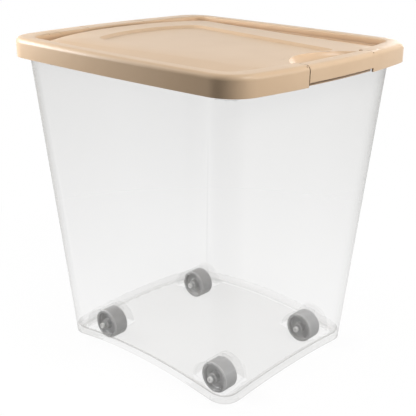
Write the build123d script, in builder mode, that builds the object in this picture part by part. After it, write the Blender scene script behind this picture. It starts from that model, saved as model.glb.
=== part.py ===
from build123d import *
import os
from math import acos, cos, degrees, sin, sqrt

# Rolling food container: a tapered see-through tub on four fixed rollers, with a hinged and latched lid.
# Millimetres, +Z up. The origin is on the floor under the middle of the tub, the latch faces -Y.

# Lid: overall size and plan shape
overall_height = 480.0
lid_width = 398.0
lid_depth = 456.0
lid_end_bow = 15.0
lid_front_bulge = 3.0
lid_side_bow = 5.0
lid_corner = 44.0
lid_wall = 2.5
lid_skirt = 27.0
lid_edge_round = 7.0

# Lid: relief of the top
rim_width = 30.0
rim_side_width = 21.0
rim_front_width = 24.0
rim_inner_round = 2.5
rim_inner_corner = 20.0
panel_drop = 11.0
panel_round = 2.5
plateau_drop = 3.0
plateau_foot_gap = 3.5
plateau_side_gap = 26.0
plateau_taper = 39.0
plateau_back_gap = 5.0
plateau_front_gap = 5.0
plateau_end_bow = 36.0
plateau_corner = 26.0
dish_side_margin = 52.0
dish_front_step = 18.0
dish_back_margin = 47.0
dish_back_bow = 25.0
dish_corner = 20.0
dish_slope = 5.0
dish_depth = 4.0
dish_tip_round = 6.0
scoop_reach = 40.0
scoop_depth = 10.0
scoop_cove = 14.0
scoop_ridge = 6.0
scoop_sill = 3.5

# Seal between lid and tub
gasket_width = 5.0
gasket_height = 3.2
seal_gap = 0.3

# Tub
side_taper = 39.5
end_taper = 40.0
base_corner = 31.0
base_bow = 1.0
mouth_corner = 33.0
mouth_end_bow = 13.0
mouth_side_bow = 4.5
tub_wall = 2.5
base_clearance = 5.0
base_edge_round = 3.0
side_arch_rise = 18.0
end_arch_rise = 10.0
floor_thickness = 2.8
floor_round = 14.0
flange_thickness = 3.0
flange_clearance = 4.5
flange_side_reach = 6.0
flange_end_reach = 12.0
lip_thickness = 2.5
lip_height = 8.0

# Wheels, axles and wheel wells
wheel_diameter = 47.2
wheel_width = 25.6
wheel_side_inset = 45.5
wheel_end_inset = 52.0
wheel_edge_round = 2.0
tread_wall = 4.6
face_recess = 6.0
hub_diameter = 15.0
hub_proud = 1.9
axle_diameter = 6.0
axle_fit = 0.08
well_radial_gap = 3.4
well_side_gap = 2.4
well_wall = 2.4
well_cap_gap = 1.25
lug_thickness = 2.4
lug_radius = 9.0
axle_slot = 5.0
cap_diameter = 8.8
cap_length = 4.0
cap_end_wall = 1.0
cap_eye_diameter = 2.4
cap_edge_round = 0.8
cap_gap = 0.15
cap_fit = 0.05

# Latch flap
latch_width = 142.0
latch_gap = 0.7
latch_proud = 0.5
latch_lift = 5.5
latch_barrel_diameter = 6.4
latch_axis_inset = 18.5
latch_pin_diameter = 2.5
latch_pin_fit = 0.06
cheek_thickness = 3.0
catch_thickness = 2.6
catch_drop = 4.0
catch_overlap = 5.0
catch_margin = 3.0
catch_inset = 2.2

# Lid hinge
hinge_width = 114.0
knuckle_diameter = 8.0
hinge_drop = 2.0
hinge_pin_diameter = 3.5
hinge_pin_fit = 0.06
knuckle_count = 5
knuckle_gap = 0.5
knuckle_relief = 1.0
knuckle_web = 4.0
bracket_wall_gap = 0.6
bracket_side_gap = 0.3
hinge_groove_width = 1.5
hinge_groove_depth = 0.6

# How far a cut runs past the face it opens, and how close a face is to a level to lie on it
over_cut = 1.0
level_tolerance = 0.1

# Levels and edges worked out from the sizes above
lid_top = overall_height
lid_low = lid_top - lid_skirt
panel_top = lid_top - panel_drop
panel_under = panel_top - lid_wall
plateau_top = lid_top - plateau_drop
dish_floor = plateau_top - dish_depth
tub_top = panel_under - gasket_height - seal_gap
flange_inset = lid_wall + flange_clearance
flange_under = tub_top - flange_thickness
mouth_width = lid_width - 2 * (flange_inset + flange_side_reach)
mouth_depth = lid_depth - 2 * (flange_inset + flange_end_reach)
base_width = mouth_width - 2 * side_taper
base_depth = mouth_depth - 2 * end_taper
wheel_track = base_width - 2 * wheel_side_inset
wheel_base = base_depth - 2 * wheel_end_inset
gasket_inset = flange_inset + lip_thickness / 2
front_y = -lid_depth / 2 - lid_front_bulge
rear_y = lid_depth / 2
axle_height = wheel_diameter / 2


def bowed_outline(width, depth, side_bow, end_bow, corner, front_bulge=0):
    """A rounded rectangle whose four sides bulge outwards, the front by more than the back."""
    x = width / 2
    y = depth / 2
    corners = [(x - side_bow, end_bow - y), (x - side_bow, y - end_bow)]
    corners += [(side_bow - x, y - end_bow), (side_bow - x, end_bow - y)]
    middles = [(x, 0), (0, y), (-x, 0), (0, -y - front_bulge)]
    with BuildSketch(Plane.XY, mode=Mode.PRIVATE) as outline:
        with BuildLine():
            for number, middle in enumerate(middles):
                ThreePointArc(corners[number], middle, corners[(number + 1) % 4])
        make_face()
        fillet(outline.vertices(), corner)
    return outline.sketch


def lid_outline(inset):
    """The lid's plan, drawn in by the inset all round."""
    return bowed_outline(
        lid_width - 2 * inset,
        lid_depth - 2 * inset,
        lid_side_bow,
        lid_end_bow,
        lid_corner - inset,
        lid_front_bulge,
    )


def panel_outline(inset):
    """The plan of the lid's sunk panel inside the rim, drawn in by the inset all round."""
    outline = bowed_outline(
        lid_width - 2 * (rim_side_width + inset),
        lid_depth - rim_width - rim_front_width - 2 * inset,
        lid_side_bow,
        lid_end_bow,
        rim_inner_corner - inset,
        lid_front_bulge,
    )
    return Pos(0, (rim_front_width - rim_width) / 2) * outline


def tub_outline(height, inset):
    """The tub's plan at a height: straight-sided at the base, bowed like the lid at the mouth."""
    share = (height - base_clearance) / (tub_top - base_clearance)

    def between(low, high):
        return low + share * (high - low)

    return bowed_outline(
        between(base_width, mouth_width) - 2 * inset,
        between(base_depth, mouth_depth) - 2 * inset,
        between(base_bow, mouth_side_bow),
        between(base_bow, mouth_end_bow),
        between(base_corner, mouth_corner) - inset,
    )


def arc_radius(half_span, rise):
    """The radius of an arc from half its span and its rise."""
    return (half_span**2 + rise**2) / (2 * rise)


def tub_block(low, high, inset):
    """The tapered solid between two heights, inside the tub's outer faces by the inset."""
    with BuildPart(mode=Mode.PRIVATE) as block:
        for height in (low, high):
            with BuildSketch(Plane.XY.offset(height)):
                add(tub_outline(height, inset))
        loft()
    return block.part


def rod(start, length, radius):
    """A round bar along +X from its start point."""
    with BuildPart(mode=Mode.PRIVATE) as bar:
        with BuildSketch(Plane(start, x_dir=(0, 1, 0), z_dir=(1, 0, 0))):
            Circle(radius)
        extrude(amount=length)
    return bar.part


def block_between(low, high):
    """A plain block between two opposite corners."""
    size = [b - a for a, b in zip(low, high)]
    centre = [(a + b) / 2 for a, b in zip(low, high)]
    with BuildPart(mode=Mode.PRIVATE) as block:
        with Locations(tuple(centre)):
            Box(*size)
    return block.part


def save(piece, name):
    """Label a finished piece and write it to its own file."""
    piece.label = name
    export_step(piece, f"parts/{name}.step")


os.makedirs("parts", exist_ok=True)

# Tub: a tapered shell on a bottom that arches up between its corners, with a rolled flange at the mouth
vault_reach = base_width / 2 + side_taper
vault_axis_z = base_clearance + side_arch_rise - arc_radius(base_depth / 2, side_arch_rise)
well_radius = wheel_diameter / 2 + well_radial_gap
lug_half = wheel_width / 2 + well_side_gap
lug_outer_half = lug_half + lug_thickness
cap_start = lug_outer_half + cap_gap
well_half = cap_start + cap_length + well_cap_gap
well_outer_half = well_half + well_wall
axle_hole = axle_diameter / 2 + cap_fit
axle_spots = [(-wheel_base / 2, axle_height), (wheel_base / 2, axle_height)]
wheel_places = {
    "front_left": (-wheel_track / 2, -wheel_base / 2),
    "front_right": (wheel_track / 2, -wheel_base / 2),
    "rear_left": (-wheel_track / 2, wheel_base / 2),
    "rear_right": (wheel_track / 2, wheel_base / 2),
}


def vault(grow):
    """The barrel-shaped space under the arched bottom, grown by a thickness."""
    radius = arc_radius(base_width / 2, end_arch_rise) + grow
    crown = base_clearance + side_arch_rise + end_arch_rise + grow
    edge = crown - radius + sqrt(radius**2 - vault_reach**2)
    with BuildPart(mode=Mode.PRIVATE) as barrel:
        with BuildSketch(Plane.XZ):
            with BuildLine():
                ThreePointArc((-vault_reach, edge), (0, crown), (vault_reach, edge))
                Polyline(
                    (vault_reach, edge), (vault_reach, vault_axis_z),
                    (-vault_reach, vault_axis_z), (-vault_reach, edge),
                )
            make_face()
        revolve(axis=Axis((0, 0, vault_axis_z), (1, 0, 0)))
    return barrel.part


def well_outline(radius):
    """Side view of both wells on one side: round tops over straight sides that run down past the floor."""
    with BuildSketch(Plane.XY, mode=Mode.PRIVATE) as outline:
        with Locations(*axle_spots):
            Circle(radius)
            Rectangle(2 * radius, wheel_diameter, align=(Align.CENTER, Align.MAX))
    return outline.sketch


with BuildPart() as cavity:
    add(tub_block(base_clearance, tub_top + over_cut, tub_wall))
    add(vault(floor_thickness), mode=Mode.SUBTRACT)
    fillet(cavity.faces().sort_by(Axis.Z)[0].edges(), floor_round)

with BuildPart() as wells:
    for x in (-wheel_track / 2, wheel_track / 2):
        with BuildSketch(Plane.YZ.offset(x)):
            add(well_outline(well_radius + well_wall))
        extrude(amount=well_outer_half, both=True)
    add(vault(0), mode=Mode.SUBTRACT)

with BuildPart() as tub:
    add(tub_block(base_clearance, tub_top, 0))
    add(vault(0), mode=Mode.SUBTRACT)
    fillet(tub.faces().sort_by(Axis.Z)[0].edges(), base_edge_round)
    with BuildSketch(Plane.XY.offset(tub_top)):
        add(lid_outline(flange_inset))
    extrude(amount=-flange_thickness)
    with BuildSketch(Plane.XY.offset(tub_top)):
        add(lid_outline(flange_inset))
        add(lid_outline(flange_inset + lip_thickness), mode=Mode.SUBTRACT)
    extrude(amount=-lip_height)
    add(cavity.part, mode=Mode.SUBTRACT)
    # Wheel wells: round-topped boxes, each with two tongues inside that the axle snaps into from below
    add(wells.part)
    for x in (-wheel_track / 2, wheel_track / 2):
        with BuildSketch(Plane.YZ.offset(x)):
            add(well_outline(well_radius))
        extrude(amount=well_half, both=True, mode=Mode.SUBTRACT)
        for side in (-1, 1):
            with BuildSketch(Plane.YZ.offset(x + side * lug_half)):
                with Locations(*axle_spots):
                    Circle(lug_radius)
                    Rectangle(2 * lug_radius, well_radius + well_wall / 2, align=(Align.CENTER, Align.MIN))
            extrude(amount=side * lug_thickness)
        with BuildSketch(Plane.YZ.offset(x)):
            with Locations(*axle_spots):
                Circle(axle_hole)
                Rectangle(axle_slot, lug_radius + over_cut, align=(Align.CENTER, Align.MAX))
        extrude(amount=cap_start, both=True, mode=Mode.SUBTRACT)
save(tub.part, "tub")


def rim_shell(outset):
    """The rim's skin, shared by the lid and by the latch flap, grown outwards by the outset."""
    with BuildPart(mode=Mode.PRIVATE) as hollow:
        with BuildSketch(Plane.XY.offset(lid_low - over_cut)):
            add(lid_outline(lid_wall))
        extrude(amount=lid_skirt - lid_wall + over_cut)
        fillet(hollow.faces().sort_by(Axis.Z)[-1].edges(), lid_edge_round - lid_wall)
    with BuildPart(mode=Mode.PRIVATE) as shell:
        with BuildSketch(Plane.XY.offset(lid_low)):
            add(lid_outline(-outset))
        extrude(amount=lid_skirt)
        fillet(shell.faces().sort_by(Axis.Z)[-1].edges(), lid_edge_round)
        add(hollow.part, mode=Mode.SUBTRACT)
    return shell.part


# Raised plateau of the lid's panel, cut out in the middle by a fan-shaped dish
panel_half_width = lid_width / 2 - rim_side_width
panel_back_y = rear_y - rim_width
panel_front_y = front_y + rim_front_width
plateau_back_half = panel_half_width - plateau_side_gap
plateau_front_half = plateau_back_half - plateau_taper
plateau_back_y = panel_back_y - plateau_back_gap
plateau_side_y = plateau_back_y - plateau_end_bow
plateau_front_y = panel_front_y + plateau_front_gap
scoop_half = latch_width / 2
scoop_front_y = panel_front_y + scoop_sill
dish_back_half = plateau_back_half - dish_side_margin
dish_front_half = scoop_half - dish_front_step
dish_back_y = plateau_back_y - dish_back_margin - dish_back_bow
scoop_radius = arc_radius(scoop_half, scoop_reach)
scoop_centre_y = scoop_front_y + scoop_reach - scoop_radius
scoop_far = scoop_front_y + scoop_reach + 2 * rim_width
scoop_lip_angle = acos(1 - scoop_depth / scoop_cove)


def plateau_outline(inset):
    """The plateau's plan: wide at the hinge, narrower at the latch, with a bowed back."""
    left = (-plateau_back_half, plateau_side_y)
    right = (plateau_back_half, plateau_side_y)
    with BuildSketch(Plane.XY, mode=Mode.PRIVATE) as outline:
        with BuildLine():
            ThreePointArc(right, (0, plateau_back_y), left)
            Polyline(
                left, (-plateau_front_half, plateau_front_y), (plateau_front_half, plateau_front_y), right
            )
        make_face()
        fillet(outline.vertices(), plateau_corner)
        if inset:
            offset(amount=-inset)
    return outline.sketch


def dish_outline(outset):
    """The dish's plan: a fan that ends at the ridge around the thumb scoop."""
    left = (-dish_back_half, dish_back_y)
    right = (dish_back_half, dish_back_y)
    with BuildSketch(Plane.XY, mode=Mode.PRIVATE) as outline:
        with BuildLine():
            ThreePointArc(right, (0, dish_back_y + dish_back_bow), left)
            Polyline(left, (-dish_front_half, scoop_front_y), (dish_front_half, scoop_front_y), right)
        make_face()
        fillet(outline.vertices().group_by(Axis.Y)[-1], dish_corner)
        with Locations((0, scoop_centre_y)):
            Circle(scoop_radius + scoop_ridge + dish_slope, mode=Mode.SUBTRACT)
        fillet(outline.vertices().group_by(Axis.Y)[0], dish_tip_round)
        if outset:
            offset(amount=outset)
    return outline.sketch


def plateau_hill(drop, inset):
    """The plateau with the long slopes that lead up to it, lowered by a drop and drawn in by an inset."""
    with BuildPart(mode=Mode.PRIVATE) as hill:
        with BuildSketch(Plane.XY.offset(panel_top - drop)):
            add(panel_outline(plateau_foot_gap + inset))
        with BuildSketch(Plane.XY.offset(plateau_top - drop)):
            add(plateau_outline(inset))
        loft(ruled=True)
    return hill.part


def dish_hollow(drop, outset):
    """The space in the dish, with sloping walls, lowered by a drop and grown by the outset."""
    with BuildPart(mode=Mode.PRIVATE) as hollow:
        with BuildSketch(Plane.XY.offset(dish_floor - drop)):
            add(dish_outline(outset))
        with BuildSketch(Plane.XY.offset(plateau_top - drop)):
            add(dish_outline(outset + dish_slope))
        loft(ruled=True)
    return hollow.part


with BuildPart() as plateau:
    add(plateau_hill(0, 0))
    add(dish_hollow(0, 0), mode=Mode.SUBTRACT)

with BuildPart() as plateau_hollow:
    add(plateau_hill(lid_wall, lid_wall))
    add(dish_hollow(lid_wall, lid_wall), mode=Mode.SUBTRACT)

def scoop_solid(grow, front, top):
    """The thumb scoop's coved round hollow, grown by a thickness, behind a front plane and below a level."""
    floor = plateau_top - scoop_depth - grow
    cove = scoop_cove + grow
    lip_r = scoop_radius + grow
    lip_z = floor + cove * (1 - cos(scoop_lip_angle))
    floor_r = lip_r - cove * sin(scoop_lip_angle)
    low = (-2 * scoop_half, front, floor - over_cut)
    with BuildPart(mode=Mode.PRIVATE) as bowl:
        with BuildSketch(Plane((0, scoop_centre_y, 0), x_dir=(1, 0, 0), z_dir=(0, -1, 0))):
            with BuildLine():
                Line((0, lid_top), (0, floor))
                Line((0, floor), (floor_r, floor))
                JernArc((floor_r, floor), (1, 0), cove, degrees(scoop_lip_angle))
                Polyline((lip_r, lip_z), (lip_r + lid_top - lip_z, lid_top), (0, lid_top))
            make_face()
        revolve(axis=Axis((0, scoop_centre_y, 0), (0, 0, 1)))
        add(block_between(low, (2 * scoop_half, scoop_far, top)), mode=Mode.INTERSECT)
    return bowl.part


# Lid: rim, panel and relief in one moulding, with a bay for the latch and knuckles for the hinge
bay_half = latch_width / 2 + latch_gap
ledge_inset = gasket_inset - lid_wall / 2
latch_axis_y = front_y + latch_axis_inset
latch_axis_z = lid_top - latch_barrel_diameter / 2
hinge_axis_y = latch_proud - front_y - knuckle_diameter / 2
hinge_axis_z = lid_low - hinge_drop
knuckle_radius = knuckle_diameter / 2
hinge_half = hinge_width / 2
relief_top = hinge_axis_z + knuckle_radius + knuckle_relief
knuckle_pitch = hinge_width / knuckle_count


def knuckle_span(number):
    """Where a knuckle starts and ends along the hinge."""
    start = number * knuckle_pitch - hinge_half
    return start + knuckle_gap / 2, start + knuckle_pitch - knuckle_gap / 2


bracket_knuckles = [knuckle_span(number) for number in range(0, knuckle_count, 2)]
lid_knuckles = [knuckle_span(number) for number in range(1, knuckle_count, 2)]
latch_pin_hole = latch_pin_diameter / 2 + latch_pin_fit
hinge_pin_hole = hinge_pin_diameter / 2 + hinge_pin_fit

with BuildPart() as lid:
    add(rim_shell(0))
    with BuildSketch(Plane.XY.offset(panel_under)):
        add(panel_outline(-lid_wall))
    extrude(amount=lid_top - panel_under)
    with BuildSketch(Plane.XY.offset(panel_top)):
        add(panel_outline(0))
    extrude(amount=panel_drop, mode=Mode.SUBTRACT)
    fillet(lid.faces().sort_by(Axis.Z)[-1].inner_wires()[0].edges(), rim_inner_round)
    panel_level = (panel_top - level_tolerance, panel_top + level_tolerance)
    panel = lid.faces().filter_by(Axis.Z).filter_by_position(Axis.Z, *panel_level)[0]
    fillet(panel.outer_wire().edges(), panel_round)
    # Relief of the panel, hollow below so that the wall stays even
    add(plateau.part)
    add(plateau_hollow.part, mode=Mode.SUBTRACT)
    add(scoop_solid(lid_wall, scoop_front_y - lid_wall, plateau_top))
    add(scoop_solid(0, scoop_front_y, lid_top), mode=Mode.SUBTRACT)
    # Rib that presses the gasket onto the tub's flange
    with BuildSketch(Plane.XY.offset(panel_under)):
        add(lid_outline(gasket_inset))
        add(lid_outline(gasket_inset + gasket_width), mode=Mode.SUBTRACT)
    extrude(amount=lid_top - lid_wall / 2 - panel_under)
    # Latch bay: a ledge that keeps the seal closed under the flap, and two cheeks for its pin
    with BuildSketch(Plane.XY.offset(panel_under)):
        add(lid_outline(ledge_inset))
        with Locations((0, front_y + rim_front_width / 2)):
            Rectangle(2 * (bay_half + cheek_thickness), rim_front_width, mode=Mode.INTERSECT)
    extrude(amount=panel_top - panel_under)
    for side in (-1, 1):
        with BuildSketch(Plane.XY.offset(panel_under)):
            add(lid_outline(lid_wall / 2))
            with Locations((side * (bay_half + cheek_thickness / 2), front_y + rim_front_width / 2)):
                Rectangle(cheek_thickness, rim_front_width, mode=Mode.INTERSECT)
        extrude(amount=lid_top - lid_wall / 2 - panel_under)
    add(
        block_between(
            (-bay_half, front_y - over_cut, panel_top),
            (bay_half, scoop_front_y, lid_top + over_cut),
        ),
        mode=Mode.SUBTRACT,
    )
    with BuildSketch(Plane.XY.offset(lid_low - over_cut)):
        add(lid_outline(-over_cut))
        with Locations((0, front_y)):
            Rectangle(2 * bay_half, lid_depth / 2, mode=Mode.INTERSECT)
        add(lid_outline(ledge_inset), mode=Mode.SUBTRACT)
    extrude(amount=lid_skirt + 2 * over_cut, mode=Mode.SUBTRACT)
    pin_half = bay_half + cheek_thickness
    add(
        rod((-pin_half - over_cut, latch_axis_y, latch_axis_z), 2 * (pin_half + over_cut), latch_pin_hole),
        mode=Mode.SUBTRACT,
    )
    # Hinge knuckles behind the back skirt, which is cut away above the bracket's arms
    add(
        block_between(
            (-hinge_half - knuckle_gap, rear_y - flange_inset, lid_low - over_cut),
            (hinge_half + knuckle_gap, rear_y + over_cut, relief_top),
        ),
        mode=Mode.SUBTRACT,
    )
    for start, end in lid_knuckles:
        add(rod((start, hinge_axis_y, hinge_axis_z), end - start, knuckle_radius))
        add(
            block_between(
                (start, rear_y - lid_wall, hinge_axis_z),
                (end, hinge_axis_y + knuckle_radius, relief_top + knuckle_web),
            )
        )
    add(
        rod((-hinge_half, hinge_axis_y, hinge_axis_z), hinge_width, hinge_pin_hole),
        mode=Mode.SUBTRACT,
    )
    # Two shallow grooves across the back rim, above the ends of the hinge
    with BuildSketch(Plane.XY.offset(lid_top - hinge_groove_depth)):
        with Locations((-hinge_half, rear_y), (hinge_half, rear_y)):
            Rectangle(hinge_groove_width, 2 * (rim_width + over_cut))
    extrude(amount=hinge_groove_depth + over_cut, mode=Mode.SUBTRACT)
save(lid.part, "lid")

# Gasket: a flat ring held under the lid's rib
with BuildPart() as lid_gasket:
    with BuildSketch(Plane.XY.offset(tub_top + seal_gap)):
        add(lid_outline(gasket_inset))
        add(lid_outline(gasket_inset + gasket_width), mode=Mode.SUBTRACT)
    extrude(amount=gasket_height)
save(lid_gasket.part, "lid_gasket")

# Latch flap: the missing stretch of the rim, turning on a barrel at its inner edge, with a catch bar below
latch_half = latch_width / 2
flap_low = lid_low + latch_lift
with BuildPart() as latch_flap:
    add(rim_shell(latch_proud))
    add(
        block_between(
            (-latch_half, front_y - latch_proud - over_cut, flap_low),
            (latch_half, latch_axis_y, lid_top + over_cut),
        ),
        mode=Mode.INTERSECT,
    )
    add(rod((-latch_half, latch_axis_y, latch_axis_z), latch_width, latch_barrel_diameter / 2))
    with BuildSketch(Plane.XY.offset(flap_low - catch_drop)):
        add(lid_outline(catch_inset))
        add(lid_outline(lid_wall + catch_thickness), mode=Mode.SUBTRACT)
        with Locations((0, front_y)):
            Rectangle(latch_width - 2 * catch_margin, lid_depth / 2, mode=Mode.INTERSECT)
    extrude(amount=catch_drop + catch_overlap)
    add(
        rod((-latch_half - over_cut, latch_axis_y, latch_axis_z), latch_width + 2 * over_cut, latch_pin_hole),
        mode=Mode.SUBTRACT,
    )
save(latch_flap.part, "latch_flap")

with BuildPart() as latch_pin:
    add(rod((-pin_half, latch_axis_y, latch_axis_z), 2 * pin_half, latch_pin_diameter / 2))
save(latch_pin.part, "latch_pin")

# Hinge bracket: a bar clipped into the channel under the tub's back flange, with three knuckles
bracket_front_y = mouth_depth / 2 + bracket_wall_gap
bracket_low = hinge_axis_z - knuckle_radius
with BuildPart() as hinge_bracket:
    with BuildSketch(Plane.XY.offset(bracket_low)):
        add(lid_outline(flange_inset + lip_thickness + bracket_side_gap))
        with Locations((0, bracket_front_y)):
            Rectangle(hinge_width, rim_width, align=(Align.CENTER, Align.MIN), mode=Mode.INTERSECT)
    extrude(amount=flange_under - bracket_low)
    for start, end in bracket_knuckles:
        add(rod((start, hinge_axis_y, hinge_axis_z), end - start, knuckle_radius))
        add(
            block_between(
                (start, bracket_front_y + lid_wall, bracket_low),
                (end, hinge_axis_y, hinge_axis_z + knuckle_radius),
            )
        )
    add(
        rod((-hinge_half - over_cut, hinge_axis_y, hinge_axis_z), hinge_width + 2 * over_cut, hinge_pin_hole),
        mode=Mode.SUBTRACT,
    )
save(hinge_bracket.part, "hinge_bracket")

with BuildPart() as hinge_pin:
    add(rod((-hinge_half, hinge_axis_y, hinge_axis_z), hinge_width, hinge_pin_diameter / 2))
save(hinge_pin.part, "hinge_pin")

# Running gear: a one-piece roller, a steel axle and two push-on caps at each corner
wheel_radius = wheel_diameter / 2
wheel_half = wheel_width / 2
hub_half = wheel_half + hub_proud
web_half = wheel_half - face_recess
bore_radius = axle_diameter / 2 + axle_fit
axle_half = cap_start + cap_length - cap_end_wall
half_profile = [
    (hub_half, bore_radius), (hub_half, hub_diameter / 2), (web_half, hub_diameter / 2),
    (web_half, wheel_radius - tread_wall), (wheel_half, wheel_radius - tread_wall),
    (wheel_half, wheel_radius),
]
wheel_profile = half_profile + [(-x, r) for x, r in reversed(half_profile)]
for place, (x, y) in wheel_places.items():
    centre = (x, y, axle_height)
    spin = Axis(centre, (1, 0, 0))
    side_view = Plane(centre, x_dir=(1, 0, 0), z_dir=(0, -1, 0))
    with BuildPart() as wheel:
        with BuildSketch(side_view) as section:
            with BuildLine():
                Polyline(*wheel_profile, close=True)
            make_face()
            fillet(section.vertices().group_by(Axis.Y)[-1], wheel_edge_round)
        revolve(axis=spin)
    save(wheel.part, f"{place}_wheel")

    with BuildPart() as axle:
        add(rod((x - axle_half, y, axle_height), 2 * axle_half, axle_diameter / 2))
    save(axle.part, f"{place}_axle")

    for cap_name, side in (("left", -1), ("right", 1)):
        with BuildPart() as axle_cap:
            with BuildSketch(Plane.YZ.offset(x + side * cap_start)):
                with Locations((y, axle_height)):
                    Circle(cap_diameter / 2)
                    Circle(cap_eye_diameter / 2, mode=Mode.SUBTRACT)
            extrude(amount=side * cap_length)
            cap_rims = axle_cap.edges().filter_by(GeomType.CIRCLE).group_by(SortBy.RADIUS)[-1]
            fillet(cap_rims.sort_by(Axis.X)[-1 if side > 0 else 0], cap_edge_round)
            add(rod((x - axle_half, y, axle_height), 2 * axle_half, axle_hole), mode=Mode.SUBTRACT)
        save(axle_cap.part, f"{place}_axle_{cap_name}_cap")
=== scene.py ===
# %% [markdown]
# # A rolling food container, dressed for a studio picture
# The container is a see-through tub on four small rollers, closed by a beige lid with a latch at the
# front. Its solids come from the CAD model, already in metres and in place. This lesson gives each piece
# the surface of the real one: satin plastic, hazy clear plastic, turned rollers, steel rods and a soft
# seal.

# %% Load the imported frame
import math

import bmesh
import bpy
from mathutils import Matrix, Vector
from mathutils.bvhtree import BVHTree


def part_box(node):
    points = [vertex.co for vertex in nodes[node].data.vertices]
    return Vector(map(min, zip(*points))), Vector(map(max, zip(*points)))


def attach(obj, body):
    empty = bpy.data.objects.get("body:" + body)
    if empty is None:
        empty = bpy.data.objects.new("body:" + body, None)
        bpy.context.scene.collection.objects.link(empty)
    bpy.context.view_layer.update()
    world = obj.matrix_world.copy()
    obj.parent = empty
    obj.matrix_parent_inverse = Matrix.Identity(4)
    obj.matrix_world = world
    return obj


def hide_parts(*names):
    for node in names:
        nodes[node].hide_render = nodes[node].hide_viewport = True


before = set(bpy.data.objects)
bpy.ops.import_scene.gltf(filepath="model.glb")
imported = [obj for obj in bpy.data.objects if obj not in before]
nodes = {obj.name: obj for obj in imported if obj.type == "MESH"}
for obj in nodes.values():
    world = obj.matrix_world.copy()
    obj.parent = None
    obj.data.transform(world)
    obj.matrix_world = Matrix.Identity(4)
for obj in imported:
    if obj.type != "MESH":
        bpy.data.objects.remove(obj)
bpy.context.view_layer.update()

scene = bpy.context.scene
scene.view_settings.view_transform = "Standard"

# %% [markdown]
# ## The camera
# The photograph looks down at the near left corner from about 20 degrees above. Position, heading and
# focal length could be guessed by eye, but here they were worked out from the lid's outline and the tub's
# sides, so that edges fall on the same pixels. The shift moves the picture's centre without turning the
# camera.

# %% Camera
image_side = 416
focal_pixels = 814.1
centre_right = 14.6
centre_down = 1.1
camera_place = Vector((-0.8621, -0.7928, 0.6539))
camera_heading = math.radians(48.47)
camera_dip = math.radians(20.3)
camera_roll = math.radians(0.77)

camera_data = bpy.data.cameras.new("camera")
camera_data.lens = camera_data.sensor_width * focal_pixels / image_side
camera_data.shift_x = -centre_right / image_side
camera_data.shift_y = centre_down / image_side
camera = bpy.data.objects.new("camera", camera_data)
scene.collection.objects.link(camera)
heading_turn = Matrix.Rotation(-camera_heading, 4, "Z")
dip_turn = Matrix.Rotation(math.pi / 2 - camera_dip, 4, "X")
roll_turn = Matrix.Rotation(camera_roll, 4, "Z")
camera.matrix_world = Matrix.Translation(camera_place) @ heading_turn @ dip_turn @ roll_turn
scene.camera = camera
print("lens", round(camera_data.lens, 1), "mm")

# %% [markdown]
# ## Wiring a material
# A material is a tree of nodes: measures and textures on the left, one shader on the right, wires in
# between. The same few nodes come back in every finish of this container, so each has a small helper that
# makes the node, sets its sockets, wires in what feeds it, and hands back the socket with the result.


# %% Helpers for noise, tones and ranges
def new_material(name):
    """A fresh material, with its node tree and its shader."""
    material = bpy.data.materials.new(name)
    material.use_nodes = True
    tree = material.node_tree
    return material, tree, tree.nodes["Principled BSDF"]


def noise(tree, place, scale, detail):
    """Soft noise over a place in metres, with values around 0.5."""
    node = tree.nodes.new("ShaderNodeTexNoise")
    node.inputs["Scale"].default_value = scale
    node.inputs["Detail"].default_value = detail
    tree.links.new(place, node.inputs["Vector"])
    return node.outputs["Fac"]


def drift(tree, value, ends, tones):
    """A colour that runs between two tones while a value runs between two ends."""
    node = tree.nodes.new("ShaderNodeValToRGB")
    for stop, position, tone in zip(node.color_ramp.elements, ends, tones):
        stop.position = position
        stop.color = (*tone, 1)
    tree.links.new(value, node.inputs["Fac"])
    return node.outputs["Color"]


def rescale(tree, value, ends, results):
    """A number that runs between two results while a value runs between two ends."""
    node = tree.nodes.new("ShaderNodeMapRange")
    for socket, number in zip(("From Min", "From Max", "To Min", "To Max"), (*ends, *results)):
        node.inputs[socket].default_value = number
    tree.links.new(value, node.inputs["Value"])
    return node.outputs["Result"]


full_range = (0.0, 1.0)
noise_range = (0.3, 0.7)
print("noise is used between", noise_range)

# %% [markdown]
# ## Moulded plastic
# Lid, rollers and caps are injection moulded. Their colour is even, but pigment and flow leave faint
# clouds, and the mould's texture gives a fine grain that breaks up the gloss. Two noises do that: a wide
# one varies the colour, a fine one varies roughness and tilts the surface a little. Object coordinates
# keep both in metres. Gaps get little light, so an Ambient Occlusion node, which measures how open a spot
# is, mixes in a deeper tone there: painted shade in the gaps and under the flap. On the rollers a mark on
# the mesh lightens the bevelled edges: a painted highlight.


# %% A helper that mixes tones
def mix_tones(tree, share, first, second):
    """A mix with a share of the second colour. Each is a fixed tone or the socket of another node."""
    node = tree.nodes.new("ShaderNodeMix")
    node.data_type = "RGBA"
    tree.links.new(share, node.inputs["Factor"])
    for socket, colour in (("A", first), ("B", second)):
        if isinstance(colour, tuple):
            node.inputs[socket].default_value = (*colour, 1)
        else:
            tree.links.new(colour, node.inputs[socket])
    return node.outputs["Result"]


cloud_detail = 3.0
grain_detail = 2.0
grain_strength = 0.25
print("grain tilts the surface by a share of", grain_strength)


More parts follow.
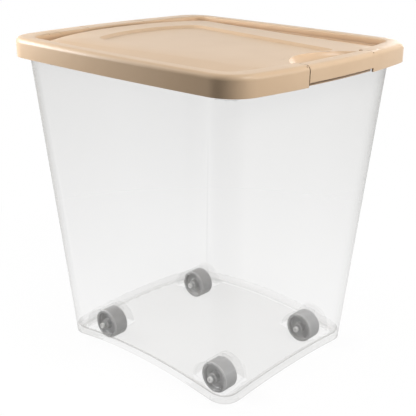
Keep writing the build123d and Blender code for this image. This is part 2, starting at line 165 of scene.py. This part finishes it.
# %% A helper for moulded plastic
def moulded_plastic(
    name, tones, cloud_scale, grain_scale, gloss, grain_depth, mirror=0.5, painted_shade=None, painted_edge_highlight=None
):
    """Satin plastic whose colour drifts between two tones, with a fine grain in its gloss.

    Painted shade, given as tone, reach and range of openness, darkens narrow gaps where little light gets
    in. A painted edge highlight is a lighter tone on edges that carry the highlight mark.
    """
    material, tree, shader = new_material(name)
    shader.inputs["Specular IOR Level"].default_value = mirror
    place = tree.nodes.new("ShaderNodeTexCoord").outputs["Object"]
    colour = drift(tree, noise(tree, place, cloud_scale, cloud_detail), noise_range, tones)
    # Painted shade: the Ambient Occlusion node darkens gaps with a deeper tone.
    if painted_shade:
        shade_tone, reach, openness = painted_shade
        occlusion = tree.nodes.new("ShaderNodeAmbientOcclusion")
        occlusion.inputs["Distance"].default_value = reach
        colour = mix_tones(tree, rescale(tree, occlusion.outputs["AO"], openness, full_range), shade_tone, colour)
    # Painted highlight: a lighter tone where the mesh carries the mark.
    if painted_edge_highlight:
        highlight_mark = tree.nodes.new("ShaderNodeAttribute")
        highlight_mark.attribute_name = "painted_highlight"
        colour = mix_tones(tree, highlight_mark.outputs["Fac"], colour, painted_edge_highlight)
    tree.links.new(colour, shader.inputs["Base Color"])
    grain = noise(tree, place, grain_scale, grain_detail)
    tree.links.new(rescale(tree, grain, noise_range, gloss), shader.inputs["Roughness"])
    relief = tree.nodes.new("ShaderNodeBump")
    relief.inputs["Strength"].default_value = grain_strength
    relief.inputs["Distance"].default_value = grain_depth
    tree.links.new(grain, relief.inputs["Height"])
    tree.links.new(relief.outputs["Normal"], shader.inputs["Normal"])
    print("plastic", name)
    return material


# %% Beige, grey and white plastic, and the seal's rubber
beige = {
    "tones": ((0.715, 0.512, 0.332), (0.745, 0.542, 0.360)),
    "cloud_scale": 14.0,
    "grain_scale": 1600.0,
    "gloss": (0.30, 0.38),
    "grain_depth": 0.00006,
    "mirror": 0.25,
}
# Painted shade (tone, reach, openness): the lid's gaps and corners, and the strip under the flap.
lid_painted_shade = ((0.40, 0.25, 0.15), 0.008, (0.45, 0.97))
flap_painted_shade = ((0.26, 0.150, 0.085), 0.012, (0.74, 0.99))
lid_plastic = moulded_plastic("lid_plastic", **beige, painted_shade=lid_painted_shade)
flap_plastic = moulded_plastic("flap_plastic", **beige, painted_shade=flap_painted_shade)
# The rollers' bevelled edges get a lighter tone: a painted highlight.
wheel_plastic = moulded_plastic(
    "wheel_plastic", tones=((0.480, 0.480, 0.484), (0.520, 0.520, 0.525)), cloud_scale=60.0,
    grain_scale=1800.0, gloss=(0.36, 0.50), grain_depth=0.00008, painted_edge_highlight=(0.74, 0.74, 0.74),
)
cap_plastic = moulded_plastic(
    "cap_plastic", tones=((0.88, 0.88, 0.87), (0.94, 0.94, 0.93)), cloud_scale=90.0, grain_scale=2400.0,
    gloss=(0.26, 0.36), grain_depth=0.00003,
)
seal_rubber = moulded_plastic(
    "seal_rubber", tones=((0.62, 0.61, 0.58), (0.70, 0.69, 0.66)), cloud_scale=40.0, grain_scale=2600.0,
    gloss=(0.62, 0.78), grain_depth=0.00010,
)

# %% [markdown]
# ## Drawn steel
# Axles and hinge wires are drawn through a die, which leaves fine scratches along their length. A noise
# that is stretched along X, the direction of every rod here, gives such streaks without a texture image.


# %% Steel for rods and wires
def stretched(tree, place, scale):
    """The same place with each axis scaled, which stretches a pattern along the axes with small scales."""
    node = tree.nodes.new("ShaderNodeMapping")
    node.inputs["Scale"].default_value = scale
    tree.links.new(place, node.inputs["Vector"])
    return node.outputs["Vector"]


streak_scale = (40.0, 2200.0, 2200.0)
streak_detail = 3.0
steel_tones = ((0.52, 0.53, 0.55), (0.68, 0.69, 0.70))
steel_gloss = (0.22, 0.42)

steel, steel_tree, steel_shader = new_material("drawn_steel")
steel_shader.inputs["Metallic"].default_value = 1.0
rod_place = steel_tree.nodes.new("ShaderNodeTexCoord").outputs["Object"]
along_rod = stretched(steel_tree, rod_place, streak_scale)
streaks = noise(steel_tree, along_rod, scale=1.0, detail=streak_detail)
steel_colour = drift(steel_tree, streaks, full_range, steel_tones)
steel_polish = rescale(steel_tree, streaks, full_range, steel_gloss)
steel_tree.links.new(steel_colour, steel_shader.inputs["Base Color"])
steel_tree.links.new(steel_polish, steel_shader.inputs["Roughness"])
print("metal", steel.name)

# %% [markdown]
# ## Hazy clear plastic
# The tub is clear polypropylene: one sees through it, but every wall adds a milky veil, and the veil gets
# denser where the sight line runs along the wall, at the sides of the outline and in the rounded corners.
# Real glass with refraction would be slow and noisy. A veil of low opacity on each face, denser at a
# grazing angle, does the same for thin walls. The walls also look darker towards the rim, where the lid
# shades them, so the veil rises with height: painted shade from the lid. It also gains where the
# surface looks along X and Y at once, which darkens the upright corners. Wells, floor and foot get
# values of their own.


# %% Helpers for the veil
def calculate(tree, operation, *values):
    """One step of arithmetic on the results of other nodes."""
    node = tree.nodes.new("ShaderNodeMath")
    node.operation = operation
    for socket, value in zip(node.inputs, values):
        tree.links.new(value, socket)
    return node.outputs["Value"]


def along_axes(tree, vector):
    """The X, Y and Z of a vector, as three sockets."""
    node = tree.nodes.new("ShaderNodeSeparateXYZ")
    tree.links.new(vector, node.inputs["Vector"])
    return [node.outputs[axis] for axis in "XYZ"]


floor_to_rim = (0.08, 0.45)
slant_blend = 0.15
full_corner = 0.5
print("the veil rises between", floor_to_rim, "m")


# %% A helper for the tub's plastic
milk_tones = ((0.44, 0.43, 0.40), (0.50, 0.49, 0.46))
milk_stretch = (1.0, 1.0, 0.25)
milk_scale = 9.0
milk_detail = 4.0
clear_gloss = (0.12, 0.24)
refraction = 1.49


def hazy_clear(name, face_veil, edge_veil, corner_gain=1.0):
    """See-through plastic with a thin veil that gains at a grazing angle, and from the floor up to the rim.

    Each veil is a pair, at the floor and at the rim; the rise to the rim is painted shade from the lid. The
    corner gain makes it denser in upright corners.
    """
    material, tree, shader = new_material(name)
    shader.inputs["IOR"].default_value = refraction
    coordinates = tree.nodes.new("ShaderNodeTexCoord")
    place = coordinates.outputs["Object"]
    milk = noise(tree, stretched(tree, place, milk_stretch), milk_scale, milk_detail)
    tree.links.new(drift(tree, milk, noise_range, milk_tones), shader.inputs["Base Color"])
    tree.links.new(rescale(tree, milk, full_range, clear_gloss), shader.inputs["Roughness"])
    slant = tree.nodes.new("ShaderNodeLayerWeight")
    slant.inputs["Blend"].default_value = slant_blend
    veil = tree.nodes.new("ShaderNodeMapRange")
    tree.links.new(slant.outputs["Facing"], veil.inputs["Value"])
    # Painted shade: the veil grows denser with height, towards the rim that the lid shades.
    height = along_axes(tree, place)[2]
    for socket, veil_pair in (("To Min", face_veil), ("To Max", edge_veil)):
        tree.links.new(rescale(tree, height, floor_to_rim, veil_pair), veil.inputs[socket])
    across, along = along_axes(tree, coordinates.outputs["Normal"])[:2]
    in_corner = calculate(tree, "ABSOLUTE", calculate(tree, "MULTIPLY", across, along))
    gain = rescale(tree, in_corner, (0.0, full_corner), (1.0, corner_gain))
    tree.links.new(calculate(tree, "MULTIPLY", veil.outputs["Result"], gain), shader.inputs["Alpha"])
    print("clear", name)
    return material


clear_plastic = hazy_clear(
    "clear_plastic", face_veil=(0.022, 0.088), edge_veil=(0.26, 0.68), corner_gain=2.0
)
clear_well = hazy_clear("clear_well", face_veil=(0.05, 0.05), edge_veil=(0.15, 0.15))
clear_floor = hazy_clear("clear_floor", face_veil=(0.145, 0.145), edge_veil=(0.34, 0.34))
clear_foot = hazy_clear("clear_foot", face_veil=(0.05, 0.05), edge_veil=(0.86, 0.86))

# %% [markdown]
# ## Moulded pieces from the CAD
# Lid, flap, tub, bracket and seal have the right shape in the CAD, but their meshes are loose triangles,
# which shade as flat facets. Merging a copy's doubles lets Blender shade rounded faces smoothly, while
# edges sharper than a set angle stay crisp. The copy takes the node's place and moves with the same body.

# %% Smooth copies of the moulded pieces
merge_distance = 0.00001
sliver_length = 0.000001
crisp_angle = math.radians(28)


def smooth_copy(node, name, body, material):
    """A merged, smoothly shaded copy of a CAD node that stands in for it."""
    mesh = nodes[node].data.copy()
    mesh.name = name
    moulding = bmesh.new()
    moulding.from_mesh(mesh)
    bmesh.ops.remove_doubles(moulding, verts=moulding.verts, dist=merge_distance)
    bmesh.ops.dissolve_degenerate(moulding, edges=moulding.edges, dist=sliver_length)
    for face in moulding.faces:
        face.smooth = True
    for edge in moulding.edges:
        if len(edge.link_faces) == 2:
            edge.smooth = edge.calc_face_angle(0.0) < crisp_angle
    moulding.to_mesh(mesh)
    moulding.free()
    mesh.materials.clear()
    mesh.materials.append(material)
    piece = bpy.data.objects.new(name, mesh)
    scene.collection.objects.link(piece)
    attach(piece, body)
    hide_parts(node)
    print(name, len(mesh.polygons), "faces")
    return piece


tub_shell = smooth_copy("tub", "tub_shell", "tub", clear_plastic)
smooth_copy("lid", "lid_moulding", "lid", lid_plastic)
smooth_copy("latch_flap", "flap_moulding", "latch", flap_plastic)
smooth_copy("hinge_bracket", "bracket_moulding", "tub", lid_plastic)
smooth_copy("lid_gasket", "seal_ring", "lid", seal_rubber)

# %% [markdown]
# ## One sheet for each clear wall
# The CAD wall is a solid with two faces, 2.5 mm apart. A sight line through the whole tub would meet a
# dozen of them, and the renderer gives up after eight clear faces and shows black. A wall this thin looks
# the same as a single sheet, so each face that has its twin right behind it, and looks towards the middle
# of the tub, is taken out. The flange stays. What is left of small fillets between such faces would float
# as scraps, so islands of a few faces go too.

# %% Take out the inner twins
twin_distance = 0.0032
start_inside = 0.0001
flange_from = 0.445
tub_middle = Vector((0, 0, 0.25))

sheet = bmesh.new()
sheet.from_mesh(tub_shell.data)
walls = BVHTree.FromBMesh(sheet)
inner_twins = []
for face in sheet.faces:
    spot = face.calc_center_median()
    twin = walls.ray_cast(spot - face.normal * start_inside, -face.normal, twin_distance)[0]
    lowest = min(vert.co.z for vert in face.verts)
    if twin and lowest < flange_from and face.normal.dot(tub_middle - spot) > 0:
        inner_twins.append(face)
print("inner faces taken out", len(inner_twins), "of", len(sheet.faces))
bmesh.ops.delete(sheet, geom=inner_twins, context="FACES")

# %% Take out the scraps
fewest_faces = 20


def islands(shape):
    """The separate pieces of a mesh, each as a set of its faces."""
    found = []
    waiting = set(shape.faces)
    while waiting:
        island = set()
        border = [waiting.pop()]
        while border:
            face = border.pop()
            island.add(face)
            beside = {other for edge in face.edges for other in edge.link_faces} & waiting
            waiting -= beside
            border.extend(beside)
        found.append(island)
    return found


scraps = [face for island in islands(sheet) if len(island) < fewest_faces for face in island]
print("faces in scraps taken out", len(scraps))
bmesh.ops.delete(sheet, geom=scraps, context="FACES")
sheet.to_mesh(tub_shell.data)
sheet.free()

# %% [markdown]
# ## The tub's bottom
# The wheel wells hardly veil the rollers in the photograph, while the floor between them looks a little
# greyer than the walls above it. The foot, where walls, skirt and floor meet in a thick fillet, draws the
# crisp lines around the base. A face belongs to the bottom when it lies low enough and far enough inside
# the tub's outline, a rectangle with rounded corners, and to a well when it is close to a roller. It
# belongs to the foot when it is part of the skirt or of the fillet on the inner side.

# %% Helpers that find a place in the bottom
base_half = Vector((0.1465, 0.169))
base_corner = 0.031
well_middle = Vector((0.101, 0.117))
well_half = Vector((0.027, 0.031))


def depth_inside(point):
    """How far a point lies inside the tub's outline at the base."""
    beyond = Vector((abs(point.x), abs(point.y))) - base_half + Vector((base_corner, base_corner))
    past_corner = Vector((max(beyond.x, 0.0), max(beyond.y, 0.0))).length
    return base_corner - past_corner - min(max(beyond.x, beyond.y), 0.0)


def near_roller(point):
    """Whether a point lies over one of the four wheel wells."""
    across = abs(abs(point.x) - well_middle.x) < well_half.x
    along = abs(abs(point.y) - well_middle.y) < well_half.y
    return across and along


print("the middle lies", round(depth_inside(Vector((0, 0, 0))), 4), "m inside the outline")

# %% Plastic for wells, floor and foot
bottom_height = 0.08
skirt_height = 0.018
foot_width = 0.010
wall, well, bottom, foot = range(4)

for plastic in (clear_well, clear_floor, clear_foot):
    tub_shell.data.materials.append(plastic)
for face in tub_shell.data.polygons:
    low_down = face.center.z < bottom_height
    inner_side = face.normal.dot(tub_middle - face.center) > 0
    if low_down and depth_inside(face.center) > foot_width:
        face.material_index = well if near_roller(face.center) else bottom
    elif face.center.z < skirt_height or (low_down and inner_side):
        face.material_index = foot
finishes = [face.material_index for face in tub_shell.data.polygons]
print("faces of wall, wells, floor and foot", [finishes.count(part) for part in (wall, well, bottom, foot)])

# %% [markdown]
# ## Rollers
# Each roller is one moulding: a broad tread, a recessed face on both sides and a hub that stands a little
# proud. It is round about its axle, so one half of its section is drawn, mirrored and spun. The sharp
# rings are then bevelled, because a moulded edge always has a small radius that catches the light. The
# middle rows of each bevel carry a mark that the roller's plastic reads to paint a lighter tone there: a
# painted highlight along the edges.

# %% A helper that turns a section into a round piece
ring_angle = math.radians(40)
shading_angle = math.radians(35)
seam_distance = 0.000005
bevel_rows = 3


def turned_piece(name, section, centre, steps, bevel_width, material):
    """Spins a closed section of (along, radius) points about the X axis through a centre."""
    mesh = bpy.data.meshes.new(name)
    turned = bmesh.new()
    painted_highlight = turned.verts.layers.float.new("painted_highlight")
    ring = [turned.verts.new((along, radius, 0)) for along, radius in section]
    sides = [turned.edges.new((ring[i - 1], ring[i])) for i in range(len(ring))]
    bmesh.ops.spin(
        turned, geom=ring + sides, cent=(0, 0, 0), axis=(1, 0, 0), angle=2 * math.pi, steps=steps,
        use_merge=True,
    )
    bmesh.ops.remove_doubles(turned, verts=turned.verts, dist=seam_distance)
    bmesh.ops.recalc_face_normals(turned, faces=turned.faces)
    rims = [edge for edge in turned.edges if edge.calc_face_angle(0.0) > ring_angle]
    rounded = bmesh.ops.bevel(
        turned, geom=rims, offset=bevel_width, affect="EDGES", segments=bevel_rows, profile=0.5, material=-1
    )
    # The middle rows of each bevel get the mark for the painted highlight on the edges.
    edge_faces = set(rounded["faces"])
    for vert in rounded["verts"]:
        if edge_faces.issuperset(vert.link_faces):
            vert[painted_highlight] = 1.0
    bmesh.ops.translate(turned, verts=turned.verts, vec=centre)
    for face in turned.faces:
        face.smooth = True
    for edge in turned.edges:
        edge.smooth = edge.calc_face_angle(0.0) < shading_angle
    turned.to_mesh(mesh)
    turned.free()
    mesh.materials.append(material)
    piece = bpy.data.objects.new(name, mesh)
    scene.collection.objects.link(piece)
    print(name, len(mesh.polygons), "faces")
    return piece


# %% Four rollers
tread_wall = 0.0046
tread_chamfer = 0.0014
face_recess = 0.006
recess_draft = 0.0008
hub_radius = 0.0075
hub_proud = 0.0019
bore_radius = 0.00308
roller_bevel = 0.0006
roller_steps = 72
corners = ("front_left", "front_right", "rear_left", "rear_right")

for corner in corners:
    low, high = (Vector(point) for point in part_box(f"{corner}_wheel"))
    centre = (low + high) / 2
    radius = (high.z - low.z) / 2
    hub_half = (high.x - low.x) / 2
    tread_half = hub_half - hub_proud
    web_half = tread_half - face_recess
    half_section = [
        (hub_half, bore_radius), (hub_half, hub_radius), (web_half, hub_radius + recess_draft),
        (web_half, radius - tread_wall - recess_draft), (tread_half, radius - tread_wall),
        (tread_half, radius - tread_chamfer), (tread_half - tread_chamfer, radius),
    ]
    section = half_section + [(-along, out) for along, out in reversed(half_section)]
    roller = turned_piece(
        f"{corner}_turned_roller", section, centre, roller_steps, roller_bevel, wheel_plastic
    )
    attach(roller, f"{corner}_roller")
    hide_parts(f"{corner}_wheel")

# %% [markdown]
# ## Axle caps
# The white ends beside the rollers are small push-on caps with an eye in the middle, through which the
# end of the rod shows dark. A cap is a turned cup too: open towards the roller, closed at its outer end
# except for the eye.

# %% Eight caps
cap_bore = 0.00305
eye_radius = 0.0012
cap_end_wall = 0.001
cap_bevel = 0.0004
cap_steps = 40

for corner in corners:
    for hand, way in (("left", -1), ("right", 1)):
        node = f"{corner}_axle_{hand}_cap"
        low, high = (Vector(point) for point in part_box(node))
        centre = (low + high) / 2
        half_length = (high.x - low.x) / 2
        cap_radius = (high.z - low.z) / 2
        inner_end = half_length - cap_end_wall
        cup = [
            (-half_length, cap_bore), (-half_length, cap_radius), (half_length, cap_radius),
            (half_length, eye_radius), (inner_end, eye_radius), (inner_end, cap_bore),
        ]
        outward_cup = [(way * along, out) for along, out in cup]
        cap = turned_piece(f"{corner}_{hand}_cup", outward_cup, centre, cap_steps, cap_bevel, cap_plastic)
        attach(cap, "tub")
        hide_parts(node)

# %% [markdown]
# ## Rods and wires
# The axles, the hinge pin and the latch pin are plain rods, and the CAD shows them well. They stay as
# they are and only get the steel.

# %% Steel on the CAD rods
rods = [f"{corner}_axle" for corner in corners] + ["hinge_pin", "latch_pin"]
for rod in rods:
    rod_mesh = nodes[rod].data
    rod_mesh.materials.clear()
    rod_mesh.materials.append(steel)
print("rods", len(rods))

# %% [markdown]
# ## The white floor
# In the studio the container stands on a white sweep that runs out to pure white, with only a soft shadow
# near the base. More light would bleach the lid, so the floor glows for rays that reach the picture,
# straight, mirrored or through plastic, and stays an ordinary grey surface for everything else. The
# painted share, which shows the shadow, is largest under the container and fades outwards, and the glow
# makes up for what the paint leaves out.

# %% The floor's mesh
floor_half = 20
floor_mesh = bpy.data.meshes.new("floor")
floor_shape = bmesh.new()
bmesh.ops.create_grid(floor_shape, x_segments=1, y_segments=1, size=floor_half)
floor_shape.to_mesh(floor_mesh)
floor_shape.free()
floor = bpy.data.objects.new("floor", floor_mesh)
scene.collection.objects.link(floor)
print("floor", floor.dimensions.x, "m wide")


# %% Helpers for what only some rays see
def seen_by(tree, *rays):
    """1 for the rays that are named, and 0 for all others."""
    paths = tree.nodes.new("ShaderNodeLightPath")
    seen = paths.outputs[rays[0]]
    for ray in rays[1:]:
        seen = calculate(tree, "MAXIMUM", seen, paths.outputs[ray])
    return seen


def show_mix(tree, share, first, second, output):
    """Sends a mix of two shaders, with a share of the second, to an output."""
    node = tree.nodes.new("ShaderNodeMixShader")
    tree.links.new(share, node.inputs["Fac"])
    tree.links.new(first, node.inputs[1])
    tree.links.new(second, node.inputs[2])
    tree.links.new(node.outputs["Shader"], tree.nodes[output].inputs["Surface"])


shadow_fades = (0.15, 0.75)
glow_share = (0.80, 1.0)
glow_strength = (1.14, 1.0)
paint_tone = (0.45, 0.45, 0.45, 1)
print("the shadow fades between", shadow_fades, "m")

# %% The floor's paint and glow
floor_white, floor_tree, paint = new_material("floor_white")
paint.inputs["Base Color"].default_value = paint_tone
paint.inputs["Roughness"].default_value = 1.0
paint.inputs["Specular IOR Level"].default_value = 0.0
way_off = floor_tree.nodes.new("ShaderNodeVectorMath")
way_off.operation = "LENGTH"
floor_place = floor_tree.nodes.new("ShaderNodeTexCoord").outputs["Object"]
floor_tree.links.new(floor_place, way_off.inputs[0])
distance = way_off.outputs["Value"]
glow = floor_tree.nodes.new("ShaderNodeEmission")
floor_tree.links.new(rescale(floor_tree, distance, shadow_fades, glow_strength), glow.inputs["Strength"])
floor_seen = seen_by(floor_tree, "Is Camera Ray", "Is Transmission Ray", "Is Glossy Ray")
share_there = rescale(floor_tree, distance, shadow_fades, glow_share)
glowing = calculate(floor_tree, "MULTIPLY", floor_seen, share_there)
show_mix(floor_tree, glowing, paint.outputs["BSDF"], glow.outputs["Emission"], "Material Output")
floor_mesh.materials.append(floor_white)
print("floor finish", floor_white.name)

# %% [markdown]
# ## Studio light
# The lid tells where the lamps stood. Its front edge is the brightest line there, so the main softbox is
# high in front, and a weaker one lower on the right lifts the right end. The near corner is the darkest
# place, and the left skirt gets brighter towards the back, so a small box stands close to the far left
# end, with two more behind it that draw the relief of the panel. A low box on the right keeps that side
# from going dark, and a narrow beam reaches the rollers.


# %% Softboxes
def softbox(name, place, aim_at, size, power, spread=180):
    """A round area lamp at a place, turned towards a point. A grid narrows its spread, in degrees."""
    lamp_data = bpy.data.lights.new(name, "AREA")
    lamp_data.shape = "DISK"
    lamp_data.size = size
    lamp_data.energy = power
    lamp_data.spread = math.radians(spread)
    lamp = bpy.data.objects.new(name, lamp_data)
    scene.collection.objects.link(lamp)
    aim = (Vector(aim_at) - Vector(place)).to_track_quat("-Z", "Y")
    lamp.matrix_world = Matrix.Translation(place) @ aim.to_matrix().to_4x4()
    print(name, power, "W")


lid_middle = (0, 0, 0.46)
between_rollers = (0, 0, 0.03)
softbox("front high box", (0.05, -1.10, 1.56), lid_middle, size=0.6, power=16.5)
softbox("front low box", (0.55, -1.25, 0.80), lid_middle, size=0.6, power=4.8)
softbox("back box", (-0.42, 1.20, 0.95), lid_middle, size=0.5, power=4)
softbox("back high box", (-0.73, 1.00, 1.55), lid_middle, size=0.35, power=4)
softbox("left box", (-0.45, 0.60, 0.60), lid_middle, size=0.3, power=4.0)
softbox("right box", (1.30, 0.15, 0.60), lid_middle, size=0.6, power=3.5)
softbox("roller box", (-1.30, -0.55, 0.35), between_rollers, size=0.3, power=0.12, spread=30)

# %% [markdown]
# ## The room
# Behind the container there is nothing but white. The room is white for the camera and in mirror images,
# and gives only a dim, even fill light to everything else, so that it doesn't wash out the softboxes.

# %% A white room with a dim fill
fill_strength = 0.02
white_strength = 1.0

room = bpy.data.worlds.new("room")
scene.world = room
room.use_nodes = True
room_tree = room.node_tree
fill = room_tree.nodes["Background"]
fill.inputs["Color"].default_value = (1, 1, 1, 1)
fill.inputs["Strength"].default_value = fill_strength
white = room_tree.nodes.new("ShaderNodeBackground")
white.inputs["Color"].default_value = (1, 1, 1, 1)
white.inputs["Strength"].default_value = white_strength
room_seen = seen_by(room_tree, "Is Camera Ray", "Is Glossy Ray")
show_mix(room_tree, room_seen, fill.outputs["Background"], white.outputs["Background"], "World Output")
print("room", room.name, "with", len(bpy.data.lights), "lamps")
